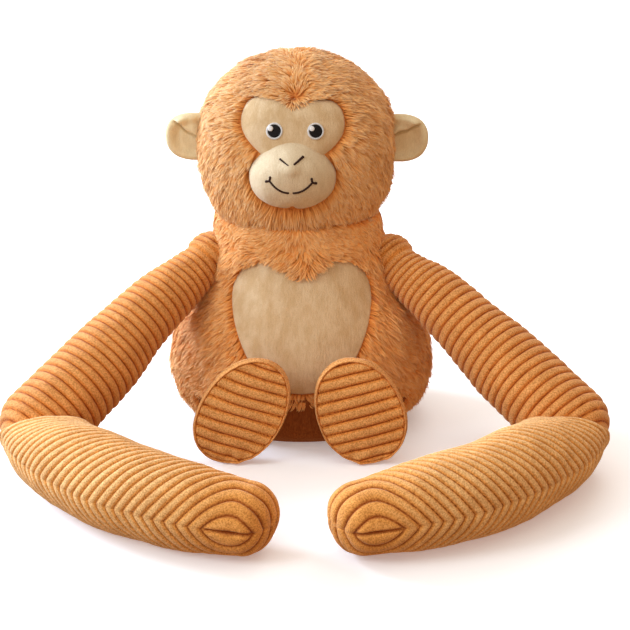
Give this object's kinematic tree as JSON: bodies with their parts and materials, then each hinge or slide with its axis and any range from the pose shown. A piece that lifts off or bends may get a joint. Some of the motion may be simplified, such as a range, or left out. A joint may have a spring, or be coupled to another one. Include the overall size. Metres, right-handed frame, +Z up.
{
  "type": "stuffed monkey",
  "caption": "Seated plush monkey with a fur body and head, corduroy arms and feet, heart-shaped belly patch and stitched face.",
  "frame": {"origin": "middle of the seat, on the surface the toy sits on", "axes": "-Y towards the toy's front, +Z up, +X to the side of the nodes named right"},
  "size_m": [0.4454, 0.3827, 0.2877],
  "materials": {
    "caramel_fur": "brushed long pile",
    "beige_plush": "short velour pile",
    "cream_plush": "short velour pile",
    "tan_corduroy": "wide-wale corduroy",
    "brown_seat_cloth": "smooth short pile",
    "black_thread": "satin stitch",
    "brown_thread": "satin stitch",
    "white_thread": "satin stitch",
    "polyester_filling": "loose fibre",
    "pouch_cotton": "woven"
  },
  "bodies": {
    "torso": {"bean_pouch": "pouch_cotton", "belly_patch": "beige_plush", "seat_left_panel": "brown_seat_cloth", "seat_right_panel": "brown_seat_cloth", "torso_back_left_panel": "caramel_fur", "torso_back_right_panel": "caramel_fur", "torso_front_left_panel": "caramel_fur", "torso_front_right_panel": "caramel_fur", "torso_stuffing": "polyester_filling"},
    "neck": {"neck_stuffing": "polyester_filling"},
    "head": {"face_patch": "beige_plush", "head_left_panel": "caramel_fur", "head_right_panel": "caramel_fur", "head_stuffing": "polyester_filling", "left_ear_back": "beige_plush", "left_ear_front": "beige_plush", "left_eye_glint": "white_thread", "left_eye_pupil": "black_thread", "left_eye_ring": "white_thread", "left_nostril": "brown_thread", "left_smile": "brown_thread", "muzzle_cover": "cream_plush", "muzzle_stuffing": "polyester_filling", "right_ear_back": "beige_plush", "right_ear_front": "beige_plush", "right_eye_glint": "white_thread", "right_eye_pupil": "black_thread", "right_eye_ring": "white_thread", "right_nostril": "brown_thread", "right_smile": "brown_thread"},
    "left_shoulder": {"left_shoulder_pad": "polyester_filling"},
    "left_upper_arm": {"left_upper_arm_sleeve": "tan_corduroy", "left_upper_arm_stuffing": "polyester_filling"},
    "left_forearm": {"left_forearm_sleeve": "tan_corduroy", "left_forearm_stuffing": "polyester_filling"},
    "left_hip": {"left_hip_pad": "polyester_filling"},
    "left_leg": {"left_foot_cover": "tan_corduroy", "left_foot_stuffing": "polyester_filling", "left_sole": "tan_corduroy"},
    "right_shoulder": {"right_shoulder_pad": "polyester_filling"},
    "right_upper_arm": {"right_upper_arm_sleeve": "tan_corduroy", "right_upper_arm_stuffing": "polyester_filling"},
    "right_forearm": {"right_forearm_sleeve": "tan_corduroy", "right_forearm_stuffing": "polyester_filling"},
    "right_hip": {"right_hip_pad": "polyester_filling"},
    "right_leg": {"right_foot_cover": "tan_corduroy", "right_foot_stuffing": "polyester_filling", "right_sole": "tan_corduroy"}
  },
  "joints": [
    {"name": "head_turn", "type": "hinge", "parent": "torso", "child": "neck", "pos_m": [-0.004, -0.004, 0.2182], "axis": [0, 0, 1], "range_deg": [-25, 25], "stiffness_Nm_per_rad": 0.3},
    {"name": "head_nod", "type": "hinge", "parent": "neck", "child": "head", "pos_m": [-0.004, -0.004, 0.2182], "axis": [0.9994, -0.0349, 0], "range_deg": [-10, 10], "stiffness_Nm_per_rad": 0.4},
    {"name": "left_shoulder_sweep", "type": "hinge", "parent": "torso", "child": "left_shoulder", "pos_m": [-0.069, -0.013, 0.1335], "axis": [0, 0, -1], "range_deg": [0, 40]},
    {"name": "left_shoulder_lift", "type": "hinge", "parent": "left_shoulder", "child": "left_upper_arm", "pos_m": [-0.069, -0.013, 0.1335], "axis": [-0.6685, 0.7437, 0], "range_deg": [0, 55]},
    {"name": "left_elbow", "type": "hinge", "parent": "left_upper_arm", "child": "left_forearm", "pos_m": [-0.1925, -0.124, 0.0345], "axis": [0, 0, -1], "range_deg": [-4, 70]},
    {"name": "left_hip_splay", "type": "hinge", "parent": "torso", "child": "left_hip", "pos_m": [-0.0432, -0.0755, 0.0358], "axis": [0, 0, -1], "range_deg": [-3, 30]},
    {"name": "left_hip_swing", "type": "hinge", "parent": "left_hip", "child": "left_leg", "pos_m": [-0.0432, -0.0755, 0.0358], "axis": [1, 0, 0], "range_deg": [-4, 30]},
    {"name": "right_shoulder_sweep", "type": "hinge", "parent": "torso", "child": "right_shoulder", "pos_m": [0.069, -0.013, 0.1335], "axis": [0, 0, 1], "range_deg": [0, 40]},
    {"name": "right_shoulder_lift", "type": "hinge", "parent": "right_shoulder", "child": "right_upper_arm", "pos_m": [0.069, -0.013, 0.1335], "axis": [-0.6685, -0.7437, 0], "range_deg": [0, 55]},
    {"name": "right_elbow", "type": "hinge", "parent": "right_upper_arm", "child": "right_forearm", "pos_m": [0.1925, -0.124, 0.0345], "axis": [0, 0, 1], "range_deg": [-4, 70]},
    {"name": "right_hip_splay", "type": "hinge", "parent": "torso", "child": "right_hip", "pos_m": [0.0432, -0.0755, 0.0358], "axis": [0, 0, 1], "range_deg": [-3, 30]},
    {"name": "right_hip_swing", "type": "hinge", "parent": "right_hip", "child": "right_leg", "pos_m": [0.0432, -0.0755, 0.0358], "axis": [1, 0, 0], "range_deg": [-4, 30]}
  ]
}
